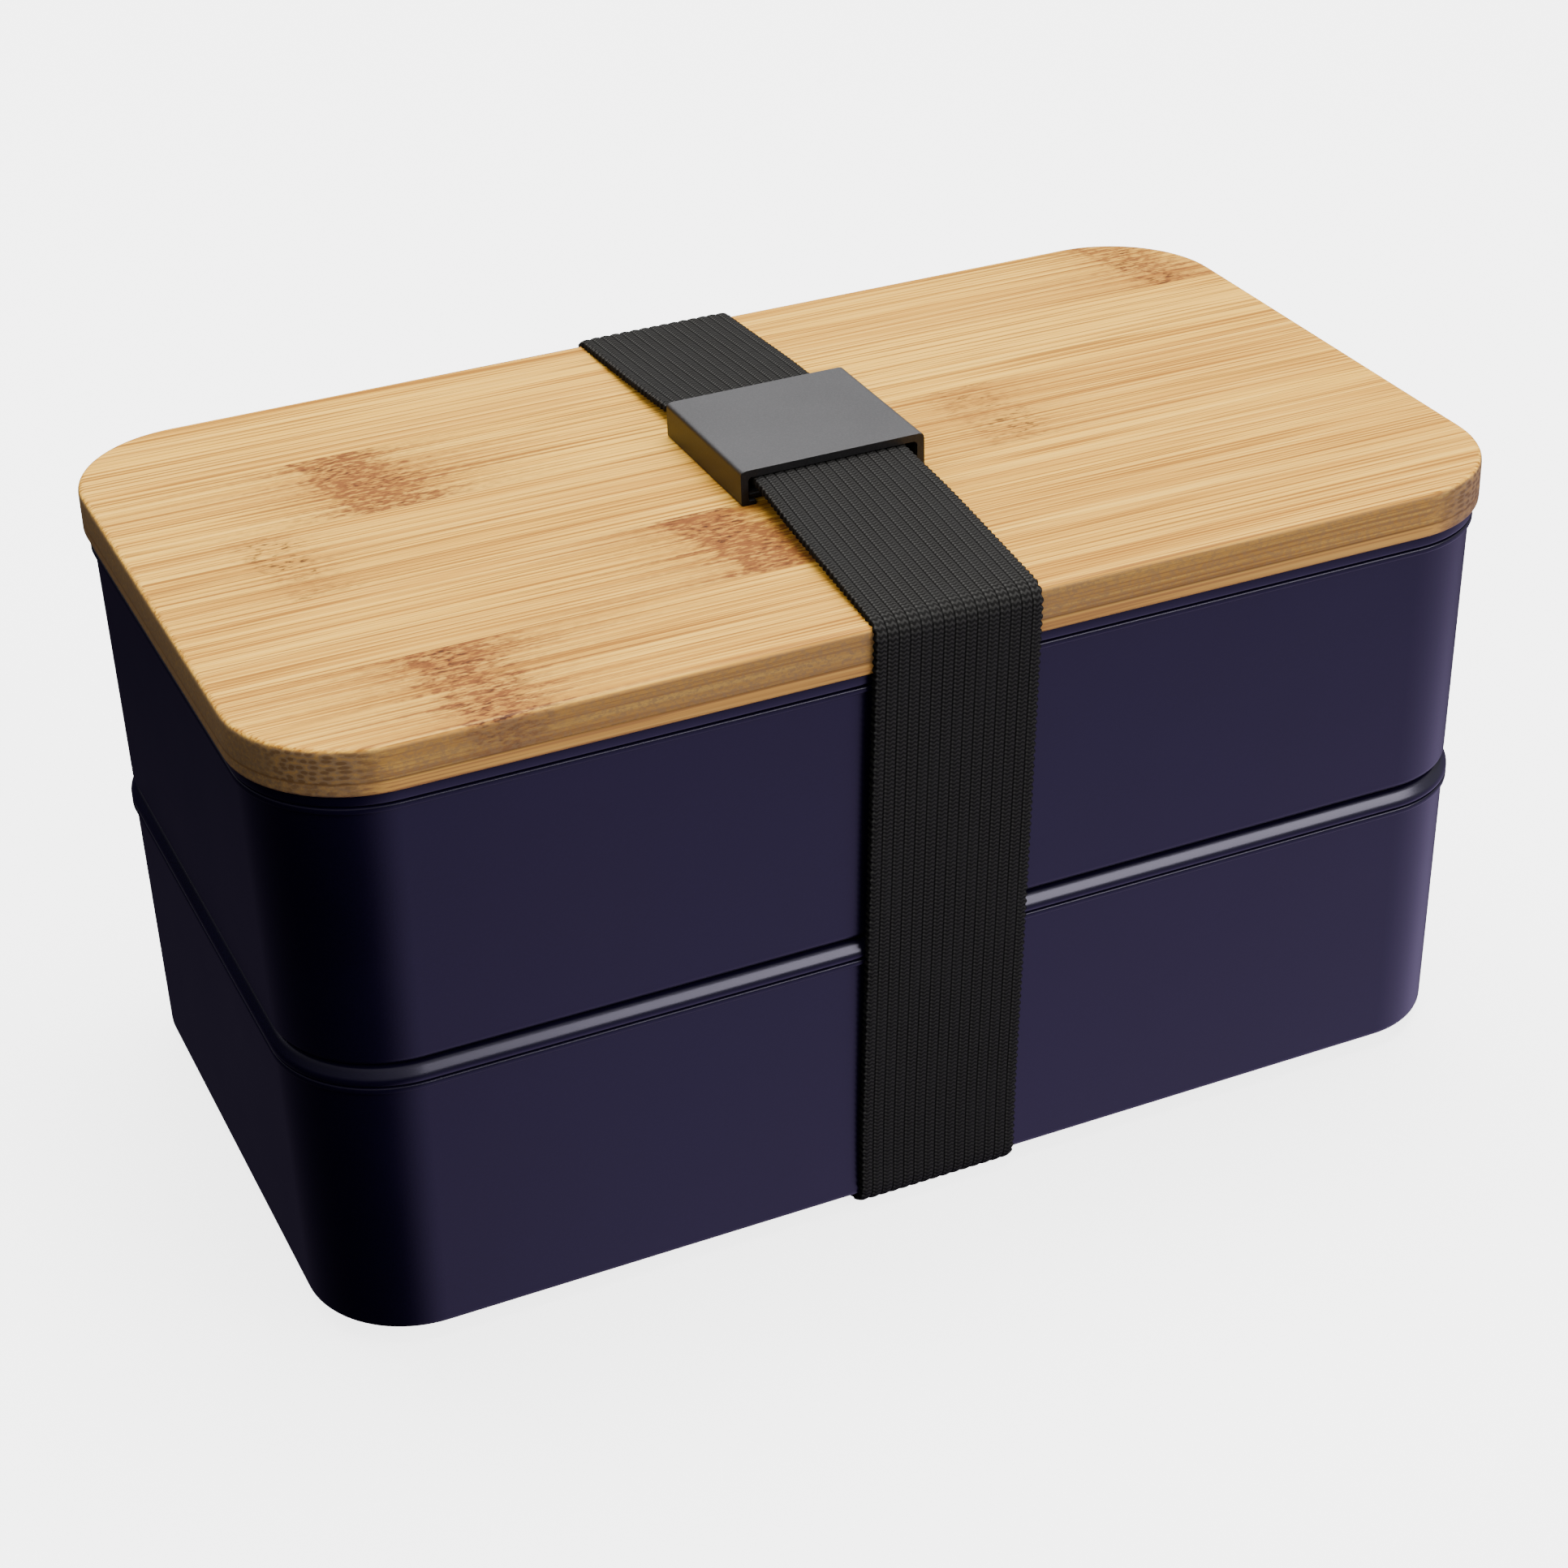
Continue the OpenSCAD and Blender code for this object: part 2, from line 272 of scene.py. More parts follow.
def make_middle_lid():
    low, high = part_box("middle_lid")
    upper_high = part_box("upper_tier")[1]
    seam = low.z + PLUG_DEPTH
    band = high.x - corner_x
    band_height = high.z - seam
    foot_play = 0.3 * MM
    border = upper_high.x - corner_x - RIM_REACH - WALL_DRAFT - FOOT_INSET + foot_play
    band_low_round = 0.4 * MM
    shoulder_low_round = 1.0 * MM
    shoulder_top_round = 0.9 * MM
    border_round = 0.3 * MM
    panel_round = 0.2 * MM
    section = plug_section(band) + [
        (band, 0, band_low_round),
        (band, band_height - SHOULDER_HEIGHT, shoulder_low_round),
        (band - SHOULDER_REACH, band_height, shoulder_top_round),
        (border, band_height, border_round),
        (border, MIDDLE_PANEL, panel_round),
        (0, MIDDLE_PANEL, 0),
    ]
    return swept("middle_lid_shell", rounded(lifted(section, seam), steps=6))


def make_lid_base():
    low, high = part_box("lid_base")
    seam = low.z + PLUG_DEPTH
    band = high.x - corner_x
    height = high.z - seam
    band_low_round = 0.4 * MM
    band_top_round = 0.3 * MM
    section = plug_section(band) + [
        (band, 0, band_low_round),
        (band, height, band_top_round),
        (0, height, 0),
    ]
    return swept("lid_base_shell", rounded(lifted(section, seam), steps=5))


def make_seal(node):
    """A silicone ring with two soft lips."""
    low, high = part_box(node)
    lip = high.x - corner_x
    back = lip - GROOVE_DEPTH
    middle = (low.z + high.z) / 2
    lip_slant = 0.35 * MM
    lip_height = 0.45 * MM
    valley_depth = 0.45 * MM
    lip_round = 0.15 * MM
    points = [
        (back, low.z),
        (lip - lip_slant, low.z),
        (lip, low.z + lip_height),
        (lip - valley_depth, middle),
        (lip, high.z - lip_height),
        (lip - lip_slant, high.z),
        (back, high.z),
    ]
    around = [(*p, lip_round) for p in [points[-1]] + points + [points[0]]]
    section = rounded(around, steps=3)[1:-1]
    return swept(node + "_ring", section, ring_section=True)


# ---------------------------------------------------------------- elastic band

# How far the band's middle drifts along X on each side of the box: in the buckle, at the buckle's mouth,
# beside the board, at the foot of the wall and at the middle of the underside
FRONT_DRIFTS = np.array([-0.2, -0.2, -1.6, -4.1, -2.6]) * MM
BACK_DRIFTS = np.array([-0.2, -0.2, -1.0, -1.0, -2.6]) * MM

# The band is drawn in a little where it comes out of the buckle: by this share of its width, over this length
GATHER_SHARE = 0.035
GATHER_LENGTH = 9 * MM

# The band's edges: how much of each bead lies inside the band's width, and the beads' relief and the edge's
# loss of thickness as shares of the ribs' relief
BEAD_INSIDE = 0.7
BEAD_RELIEF = 0.3
EDGE_LOSS = 0.9

# The band's own coordinates are in centimetres
UV_PER_METRE = 100

# Edges of the band that bend more than this stay sharp
BAND_CREASE_DEGREES = 60


class BandSide:
    """One half of the elastic band, from the buckle over the lid and down to the middle of the underside."""

    STEP = 0.25 * MM
    BEND_STEPS = 8

    # How far before the board's side the search for the seams starts
    SEAM_MARGIN = 4 * MM

    # Samples to each side that the path and the drift are averaged over
    PATH_SOFTENING = 5
    DRIFT_SOFTENING = 60

    def __init__(self, side, end_node, raised, drifts):
        self.side = side
        self.sign = 1 if side == "back" else -1
        low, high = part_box(end_node)
        self.middle_x = (low.x + high.x) / 2
        self.half_width = (high.x - low.x) / 2
        run_boxes = [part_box(f"band_{side}_{part}") for part in ("upper", "middle", "lower")]
        self.seams = [(low.z + run_boxes[0][1].z) / 2]
        for above, below in zip(run_boxes[:-1], run_boxes[1:]):
            self.seams.append((above[0].z + below[1].z) / 2)
        self.seams.append(run_boxes[-1][0].z)
        self.lay_out(raised, drifts)

    def lay_out(self, raised, drifts):
        """Samples the inner face's path evenly, and how far the band drifts sideways along it."""
        corners = np.array(self.corners(raised))
        along = np.concatenate([[0], np.cumsum(np.linalg.norm(np.diff(corners, axis=0), axis=1))])
        even = np.arange(0, along[-1], self.STEP)
        even = np.append(even[:-1], along[-1])
        path = np.stack([np.interp(even, along, corners[:, k]) for k in range(2)], axis=1)
        path = self.softened(path, self.PATH_SOFTENING)
        tangent = np.gradient(path, axis=0)
        tangent /= np.linalg.norm(tangent, axis=1)[:, None]
        self.path = path
        self.normal = np.stack([-tangent[:, 1], tangent[:, 0]], axis=1)
        self.along = even
        leg = int(np.argmax(path[:, 0]))
        low = int(np.argmax((path[:, 1] < self.seams[-1]) & (even > even[leg])))
        stations = [0, self.mouth_length, even[leg], even[low], even[-1]]
        drift = np.interp(even, stations, drifts)[:, None]
        self.drift = self.softened(drift, self.DRIFT_SOFTENING)[:, 0]
        self.cuts = [0]
        for height in self.seams:
            past = (path[:, 1] <= height) & (even > even[leg] - self.SEAM_MARGIN)
            self.cuts.append(int(np.argmax(past)))
        self.cuts.append(len(path) - 1)

    @staticmethod
    def softened(values, reach):
        """A moving average that keeps both ends where they are."""
        padded = np.concatenate([
            2 * values[:1] - values[reach:0:-1],
            values,
            2 * values[-1:] - values[-2:-reach - 2:-1],
        ])
        kernel = np.ones(2 * reach + 1) / (2 * reach + 1)
        columns = [np.convolve(column, kernel, mode="valid") for column in padded.T]
        return np.stack(columns, axis=1)

    def corners(self, raised):
        """The inner face's path as [(distance from the middle, height)], bent round the board's edge."""
        buckle_low, buckle_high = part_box("buckle_cover")
        mouth = buckle_high.y if self.sign > 0 else -buckle_low.y
        end_low, end_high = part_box(f"band_{self.side}_end")
        inside = end_low.y if self.sign > 0 else -end_high.y
        board_gap = 0.1 * MM
        bend_y = board_high.y + board_gap - BAND_BEND
        bend_z = board_high.z - BAND_BEND
        points = [(inside, raised), (mouth, raised)]
        self.mouth_length = mouth - inside
        for i in range(self.BEND_STEPS + 1):
            angle = math.radians(90 - 90 * i / self.BEND_STEPS)
            points.append((bend_y + BAND_BEND * math.cos(angle), bend_z + BAND_BEND * math.sin(angle)))
        lid_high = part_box("middle_lid")[1]
        tier_low, tier_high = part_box("lower_tier")
        wall_y = tier_high.y - RIM_REACH - WALL_DRAFT
        wall_z = tier_low.z + FOOT_DEPTH
        joint_gap = 0.3 * MM
        wall_gap = 0.25 * MM
        below_lid_top = 1.2 * MM
        above_wall_foot = 1.2 * MM
        turn_in = 0.5 * MM
        turn_down = 0.3 * MM
        foot_gap = 0.02 * MM
        points.append((lid_high.y + joint_gap, lid_high.z - below_lid_top))
        points.append((wall_y + wall_gap, wall_z + above_wall_foot))
        points.append((wall_y - turn_in, wall_z - turn_down))
        points.append((wall_y - FOOT_INSET, tier_low.z - foot_gap))
        points.append((0, tier_low.z - foot_gap))
        return points

    def piece(self, name, first, last):
        """The band from one sample to another, with ribs along it and a knitted, scalloped edge."""
        rows = np.arange(first, last + 1)
        columns = RIB_COUNT * SAMPLES_PER_RIB + 1
        across = np.linspace(-1, 1, columns)
        rib_phase = (across + 1) / 2 * RIB_COUNT
        rib = np.sqrt(np.abs(np.sin(np.pi * rib_phase)))
        edge = np.abs(across) ** EDGE_SHARPNESS
        along = self.along[rows][:, None]
        bead = np.abs(np.sin(np.pi * along / EDGE_BEAD))
        relief = rib + BEAD_RELIEF * bead * edge - EDGE_LOSS * edge
        thickness = BAND_THICKNESS - RIB_RELIEF + RIB_RELIEF * relief
        scallop = (bead - BEAD_INSIDE) * EDGE_SCALLOP * edge * np.sign(across)
        gather = 1 - GATHER_SHARE * np.exp(-((along - self.mouth_length) / GATHER_LENGTH) ** 2)
        x = self.middle_x + self.drift[rows][:, None] + across * self.half_width * gather + scallop
        y = self.path[rows, 0][:, None] + self.normal[rows, 0][:, None] * thickness
        z = self.path[rows, 1][:, None] + self.normal[rows, 1][:, None] * thickness
        outer = np.stack([x, y * self.sign, z], axis=2)
        ends = [0, columns - 1]
        inner = np.stack([
            x[:, ends],
            np.repeat(self.path[rows, 0][:, None], 2, axis=1) * self.sign,
            np.repeat(self.path[rows, 1][:, None], 2, axis=1),
        ], axis=2)
        loop = np.concatenate([outer, inner[:, ::-1]], axis=1)
        girth = np.concatenate([across * self.half_width, [self.half_width, -self.half_width]])
        return band_mesh(name, loop, girth, self.along[rows], self.sign < 0)


def band_mesh(name, loop, girth, along, flip):
    """A closed strip from rows of points round the band, with its own coordinates as UVs in centimetres."""
    rows, count = loop.shape[:2]
    index = np.arange(rows * count).reshape(rows, count)
    here = index[:-1]
    there = index[1:]
    quads = np.stack([here, np.roll(here, -1, 1), np.roll(there, -1, 1), there], axis=2).reshape(-1, 4)
    if flip:
        quads = quads[:, ::-1]
    caps = [index[0].tolist(), index[-1].tolist()]
    mesh = bpy.data.meshes.new(name)
    mesh.from_pydata(loop.reshape(-1, 3).tolist(), [], quads.tolist() + caps)
    spots = np.stack([np.tile(girth, rows), np.repeat(along, count)], axis=1) * UV_PER_METRE
    corners = np.zeros(len(mesh.loops), int)
    mesh.loops.foreach_get("vertex_index", corners)
    layer = mesh.uv_layers.new(name="along_band")
    layer.uv.foreach_set("vector", spots[corners].astype(np.float32).ravel())
    mesh.shade_smooth()
    bm = bmesh.new()
    bm.from_mesh(mesh)
    bmesh.ops.recalc_face_normals(bm, faces=bm.faces)
    bm.to_mesh(mesh)
    bm.free()
    mesh.set_sharp_from_angle(angle=math.radians(BAND_CREASE_DEGREES))
    obj = bpy.data.objects.new(name, mesh)
    bpy.context.collection.objects.link(obj)
    return obj


def make_band(materials):
    """Both halves of the band, split where its stretches move with different parts."""
    plate_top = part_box("buckle_base")[1].z
    halves = [
        BandSide("front", "band_front_end", plate_top + BAND_THICKNESS, FRONT_DRIFTS),
        BandSide("back", "band_back_end", plate_top, BACK_DRIFTS),
    ]
    spans = [
        ("end", None),
        ("upper", ("upper_tier", "top_lid")),
        ("middle", ("middle_lid", "upper_tier")),
        ("lower", ("lower_tier", "middle_lid")),
        ("under", None),
    ]
    for half in halves:
        for i, (part, bodies) in enumerate(spans):
            piece = half.piece(f"elastic_{half.side}_{part}", half.cuts[i], half.cuts[i + 1])
            dress(piece, materials["elastic"])
            if part == "under":
                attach(piece, "lower_tier")
                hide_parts("band_bottom")
            elif bodies is None:
                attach(piece, "top_lid")
                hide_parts(f"band_{half.side}_end")
            else:
                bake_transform(piece)
                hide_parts(f"band_{half.side}_{part}")


# ---------------------------------------------------------------- buckle

def make_buckle_cover():
    """A sleeve with soft edges, open at both ends."""
    low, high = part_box("buckle_cover")
    middle_x = (low.x + high.x) / 2
    half = (high.x - low.x) / 2
    height = high.z - low.z
    inner = half - BUCKLE_WALL
    lip_round = 0.1 * MM
    low_round = 0.35 * MM
    top_round = 0.8 * MM
    inner_top_round = 0.5 * MM
    inner_low_round = 0.2 * MM
    mouth_bevel = 0.28 * MM
    right = [
        (inner - LIP_REACH, LIP_HEIGHT, lip_round),
        (inner - LIP_REACH, 0, lip_round),
        (half, 0, low_round),
        (half, height, top_round),
    ]
    right_inside = [
        (inner, height - BUCKLE_WALL, inner_top_round),
        (inner, LIP_HEIGHT, inner_low_round),
    ]
    left = [(-x, z, r) for x, z, r in reversed(right)]
    left_inside = [(-x, z, r) for x, z, r in reversed(right_inside)]
    points = right + left + left_inside + right_inside
    section = rounded([points[-1]] + points + [points[0]], steps=5)[1:-1]
    bm = bmesh.new()
    stations = [low.y, high.y]
    loops = [[bm.verts.new((middle_x + x, y, low.z + z)) for x, z in section] for y in stations]
    count = len(section)
    for i in range(count):
        j = (i + 1) % count
        bm.faces.new((loops[0][i], loops[0][j], loops[1][j], loops[1][i]))
    mouths = [bm.faces.new(loop) for loop in loops]
    rims = [edge for face in mouths for edge in face.edges]
    bmesh.ops.bevel(bm, geom=rims, offset=mouth_bevel, segments=3, affect="EDGES", clamp_overlap=True)
    return finish_mesh("buckle_sleeve", bm, crease_degrees=50)


def make_buckle_base():
    low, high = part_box("buckle_base")
    edge_bevel = 0.3 * MM
    bm = bmesh.new()
    bmesh.ops.create_cube(bm, size=1)
    size = high - low
    centre = (high + low) / 2
    for vert in bm.verts:
        vert.co = Vector([centre[i] + vert.co[i] * size[i] for i in range(3)])
    bmesh.ops.bevel(bm, geom=bm.edges[:], offset=edge_bevel, segments=3, affect="EDGES", clamp_overlap=True)
    return finish_mesh("buckle_plate", bm)


# ---------------------------------------------------------------- materials

class Nodes:
    """The node tree of a material or the world, and short ways to add to it."""

    def __init__(self, owner, shader="Principled BSDF"):
        owner.use_nodes = True
        self.owner = owner
        self.tree = owner.node_tree
        self.surface = self.tree.nodes[shader]

    def put(self, socket, value):
        if isinstance(value, bpy.types.NodeSocket):
            self.tree.links.new(value, socket)
        else:
            socket.default_value = value

    def node(self, kind, inputs=None, **settings):
        made = self.tree.nodes.new(kind)
        for key, value in settings.items():
            setattr(made, key, value)
        for key, value in (inputs or {}).items():
            self.put(made.inputs[key], value)
        return made

    def set(self, **sockets):
        for key, value in sockets.items():
            self.put(self.surface.inputs[key.replace("_", " ")], value)

    def place(self):
        return self.node("ShaderNodeTexCoord").outputs["Object"]

    def parts(self, vector):
        return self.node("ShaderNodeSeparateXYZ", {0: vector}).outputs

    def joined(self, x, y, z=0.0):
        return self.node("ShaderNodeCombineXYZ", {0: x, 1: y, 2: z}).outputs[0]

    def math(self, operation, a, b=0.0):
        return self.node("ShaderNodeMath", {0: a, 1: b}, operation=operation).outputs[0]

    def vector_math(self, operation, a, b):
        return self.node("ShaderNodeVectorMath", {0: a, 1: b}, operation=operation)

    def product(self, first, *others):
        for other in others:
            first = self.math("MULTIPLY", first, other)
        return first

    def sum(self, first, *others):
        for other in others:
            first = self.math("ADD", first, other)
        return first

    def mix(self, factor, a, b):
        """From colour a to colour b; a colour is a socket or three numbers."""
        first, second = [c if isinstance(c, bpy.types.NodeSocket) else (*c, 1) for c in (a, b)]
        inputs = {0: factor, 6: first, 7: second}
        return self.node("ShaderNodeMix", inputs, data_type="RGBA").outputs[2]

    def noise(self, vector, scale, detail=3.0, roughness=0.55):
        """Noise whose scale is one number, or one for each axis, per metre."""
        if isinstance(scale, tuple):
            vector = self.node("ShaderNodeMapping", {"Vector": vector, "Scale": scale}).outputs[0]
            scale = 1.0
        inputs = {"Vector": vector, "Scale": scale, "Detail": detail, "Roughness": roughness}
        return self.node("ShaderNodeTexNoise", inputs).outputs["Fac"]

    def band(self, value, low, high, out_low=0.0, out_high=1.0):
        """The value moved smoothly from one range to another, and held at its ends."""
        inputs = {"Value": value, "From Min": low, "From Max": high, "To Min": out_low, "To Max": out_high}
        return self.node("ShaderNodeMapRange", inputs, interpolation_type="SMOOTHSTEP").outputs[0]

    def bump(self, height, strength, distance, normal=None):
        inputs = {"Height": height, "Strength": strength, "Distance": distance}
        if normal is not None:
            inputs["Normal"] = normal
        return self.node("ShaderNodeBump", inputs).outputs[0]


def material_nodes(name):
    return Nodes(bpy.data.materials.new(name))


# Where the bamboo's growth nodes cross the strips:
# strip, middle along X in mm, half length in mm, lean, strength of the tint, strength of the dark flecks
GROWTH_NODES = [
    (0, -60.9, 6.5, -0.10, 1.0, 1.0),
    (1, -14.2, 7.0, -0.37, 1.2, 1.0),
    (2, -72.2, 5.0, -0.20, 0.40, 0.9),
    (2, 34.4, 6.0, 0.0, 0.45, 0.7),
    (3, -54.8, 7.5, -0.24, 1.1, 1.0),
    (4, 83.4, 6.0, -0.23, 0.8, 0.8),
]
UNDER_LAYER_NUMBER = 10

# The parts of a growth node: where each has faded out and where it is full, as multiples of the half length
# above, and its strength
GROWTH_CORE = (1.6, 0.2, 0.58)
GROWTH_HALO = (5.0, 0.4, 0.38)
GROWTH_FLECKED = (1.4, 0.3, 1.0)

# The scar across a growth node: how far off its middle as a multiple of the half length, the distances at
# which it has faded out and is full, and its strength
SCAR_SHIFT = 0.7
SCAR_FADE = (1.5 * MM, 0.2 * MM)
SCAR_STRENGTH = 0.25

# How far the growth nodes wander to and fro between one bundle of fibres and the next
GROWTH_WANDER = 6 * MM

# Each strip shows the pattern from another place, up to this many metres off
STRIP_SHIFT = 0.3
STRIP_SEED = 0.37

# Distances between the fibre bundles that show as dots on the cut ends
FIBRE_PITCH_ACROSS = 0.9 * MM
FIBRE_PITCH_UP = 0.75 * MM

CREAM = (0.89, 0.475, 0.055)
TAN = (0.69, 0.335, 0.04)
HONEY = (0.52, 0.215, 0.022)
FINE_LINE = (0.31, 0.115, 0.014)
PALE_LINE = (1.0, 0.60, 0.10)
GROWTH_TINT = (0.215, 0.068, 0.018)
GROWTH_FLECK = (0.075, 0.024, 0.009)
CUT_SIDE = (0.31, 0.188, 0.088)
CUT_END = (0.245, 0.158, 0.085)
FIBRE_DOT = (0.15, 0.075, 0.028)
UNDER_SIDE = (0.56, 0.29, 0.12)
GLUE_LINE = (0.16, 0.075, 0.022)


def bamboo_places(sh):
    """The numbers that the bamboo's patterns share: place, strip, layer, own grain and facing."""
    place = sh.place()
    x, y, z = sh.parts(place)
    width = (board_high.y - board_low.y) / STRIP_COUNT
    from_front = sh.math("SUBTRACT", y, board_low.y)
    strip = sh.math("FLOOR", sh.math("DIVIDE", from_front, width))
    under = sh.math("LESS_THAN", z, board_low.z + UNDER_LAYER)
    number = sh.sum(strip, sh.product(under, UNDER_LAYER_NUMBER))
    seed = {"W": sh.sum(number, STRIP_SEED)}
    chance = sh.node("ShaderNodeTexWhiteNoise", seed, noise_dimensions="1D").outputs
    shift = sh.vector_math("MULTIPLY", chance["Color"], (STRIP_SHIFT,) * 3).outputs[0]
    normal = sh.parts(sh.node("ShaderNodeNewGeometry").outputs["Normal"])
    return {
        "x": x,
        "z": z,
        "number": number,
        "under": under,
        "chance": chance["Value"],
        "own": sh.vector_math("ADD", place, shift).outputs[0],
        "across_strip": sh.math("SUBTRACT", from_front, sh.product(sh.sum(strip, 0.5), width)),
        "to_seam": sh.math("PINGPONG", from_front, width / 2),
        "end": sh.band(sh.math("ABSOLUTE", normal[0]), 0.05, 0.4),
        "square": sh.band(sh.math("ABSOLUTE", normal[0]), 0.65, 0.95),
        "side": sh.band(normal[2], 0.75, 0.25),
        "up": normal[2],
    }


def bamboo_grain(sh, at):
    """Straight grain along X in three sizes. Returns its colour, and the two finer patterns."""
    broad = sh.noise(at["own"], (5, 150, 150))
    streak = sh.noise(at["own"], (6, 850, 850), 4.0, 0.7)
    fine = sh.noise(at["own"], (14, 2300, 2300), 2.0, 0.7)
    tone = sh.sum(sh.product(at["chance"], 0.16), broad)
    color = sh.mix(sh.band(tone, 0.42, 0.74), CREAM, TAN)
    color = sh.mix(sh.band(streak, 0.5, 0.68, 0, 0.62), color, HONEY)
    color = sh.mix(sh.band(streak, 0.47, 0.34, 0, 0.5), color, PALE_LINE)
    color = sh.mix(sh.band(fine, 0.51, 0.62, 0, 0.8), color, FINE_LINE)
    color = sh.mix(sh.band(fine, 0.48, 0.36, 0, 0.7), color, PALE_LINE)
    return color, streak, fine


def growth_part(sh, away, half, part):
    """How strong one part of a growth node is at a distance from its middle."""
    faded, full, strength = part
    return sh.product(sh.band(away, faded * half * MM, full * half * MM), strength)


def bamboo_growth(sh, at, color):
    """Adds the growth nodes: a reddish stretch right across one strip, with dark flecks in its middle."""
    lines = sh.band(sh.noise(at["own"], (10, 800, 800), 3.0, 0.65), 0.36, 0.64, 1.7, 0.6)
    wander = sh.product(sh.math("SUBTRACT", sh.noise(at["own"], (0, 170, 170)), 0.5), GROWTH_WANDER)
    flecks = sh.noise(at["own"], (650, 1900, 1900), 2.0, 0.6)
    clusters = sh.noise(at["own"], (150, 420, 420))
    tint = 0.0
    dark = 0.0
    for number, middle, half, lean, tint_strength, fleck_strength in GROWTH_NODES:
        here = sh.math("COMPARE", at["number"], float(number))
        tolerance = here.node.inputs[2]
        tolerance.default_value = 0.5
        leaning = sh.sum(sh.product(at["across_strip"], -lean), at["x"], wander, -middle * MM)
        away = sh.math("ABSOLUTE", leaning)
        feathered = sh.product(away, lines)
        core = growth_part(sh, feathered, half, GROWTH_CORE)
        halo = growth_part(sh, feathered, half, GROWTH_HALO)
        from_scar = sh.math("ABSOLUTE", sh.sum(leaning, SCAR_SHIFT * half * MM))
        scar = sh.product(sh.band(from_scar, *SCAR_FADE), SCAR_STRENGTH)
        tint = sh.sum(tint, sh.product(sh.sum(core, halo, scar), here, tint_strength))
        flecked = growth_part(sh, away, half, GROWTH_FLECKED)
        dark = sh.sum(dark, sh.product(flecked, here, fleck_strength))
    mottled = sh.product(tint, sh.band(flecks, 0.38, 0.62, 0.5, 1.15))
    color = sh.mix(sh.math("MINIMUM", mottled, 0.95), color, GROWTH_TINT)
    fleck = sh.product(dark, sh.band(flecks, 0.55, 0.65), sh.band(clusters, 0.42, 0.6, 0.1, 1.0))
    return sh.mix(fleck, color, GROWTH_FLECK)


def bamboo_cut_faces(sh, at, color):
    """Adds what the edges show: a speckled side, fibre bundles as dots on the cut ends, and the glue line."""
    speckle = sh.noise(at["own"], (1500, 2200, 2200), 2.0, 0.7)
    patches = sh.noise(at["own"], (14, 60, 60))
    browning = sh.sum(0.62, sh.band(patches, 0.35, 0.65, 0, 0.2), sh.band(speckle, 0.4, 0.65, -0.15, 0.15))
    color = sh.mix(sh.product(browning, at["side"], sh.math("SUBTRACT", 1.0, at["under"])), color, CUT_SIDE)
    color = sh.mix(sh.product(at["side"], at["under"], 0.5), color, UNDER_SIDE)
    ends = sh.product(at["end"], at["side"])
    color = sh.mix(sh.product(ends, sh.band(speckle, 0.35, 0.7, 0.7, 1.0)), color, CUT_END)

    _, y, z = sh.parts(at["own"])
    wobble = sh.product(sh.noise(at["own"], (120, 500, 500), 1.0), 0.5)
    across = sh.sum(sh.product(y, 1 / FIBRE_PITCH_ACROSS), wobble)
    lattice = sh.joined(across, sh.product(z, 1 / FIBRE_PITCH_UP))
    cells = sh.node("ShaderNodeTexVoronoi", {"Vector": lattice, "Scale": 1.0, "Randomness": 0.7})
    cells.voronoi_dimensions = "2D"
    distance = cells.outputs["Distance"]
    shown = sh.product(ends, sh.band(at["under"], 0, 1, 0.65, 0.3), sh.band(at["square"], 0, 1, 1, 0.15))
    dot = sh.product(sh.band(distance, 0.42, 0.24), sh.sum(shown, sh.product(at["side"], 0.06)))
    color = sh.mix(dot, color, FIBRE_DOT)
    color = sh.mix(sh.product(sh.band(distance, 0.45, 0.75), shown, 0.4), color, TAN)

    from_glue = sh.math("ABSOLUTE", sh.math("SUBTRACT", at["z"], board_low.z + UNDER_LAYER))
    glue = sh.product(sh.band(from_glue, 0.24 * MM, 0.06 * MM, 0, 0.6), at["side"])
    color = sh.mix(glue, color, GLUE_LINE)
    seam = sh.product(sh.band(at["to_seam"], 0.16 * MM, 0.03 * MM, 0, 0.3), sh.math("MAXIMUM", at["up"], 0.0))
    return sh.mix(seam, color, FINE_LINE)


def bamboo_material():
    """Golden bamboo strips with fine grain, growth nodes and cut edges."""
    sh = material_nodes("bamboo")
    at = bamboo_places(sh)
    color, streak, fine = bamboo_grain(sh, at)
    color = bamboo_growth(sh, at, color)
    color = bamboo_cut_faces(sh, at, color)
    height = sh.sum(sh.product(streak, 0.6), sh.product(fine, 0.4))
    sh.set(Base_Color=color, Roughness=sh.sum(sh.product(streak, 0.2), 0.4), Specular_IOR_Level=0.15)
    sh.set(Normal=sh.bump(height, 0.25, 0.15 * MM))
    return sh.owner


def scaled(color, factor):
    return tuple(c * factor for c in color)


# Colours of the plastics, and the tint of the navy plastic's gloss
NAVY = (0.0036, 0.0022, 0.0125)
NAVY_GLOSS = (0.85, 0.8, 1.0)
CHARCOAL = (0.036, 0.035, 0.037)


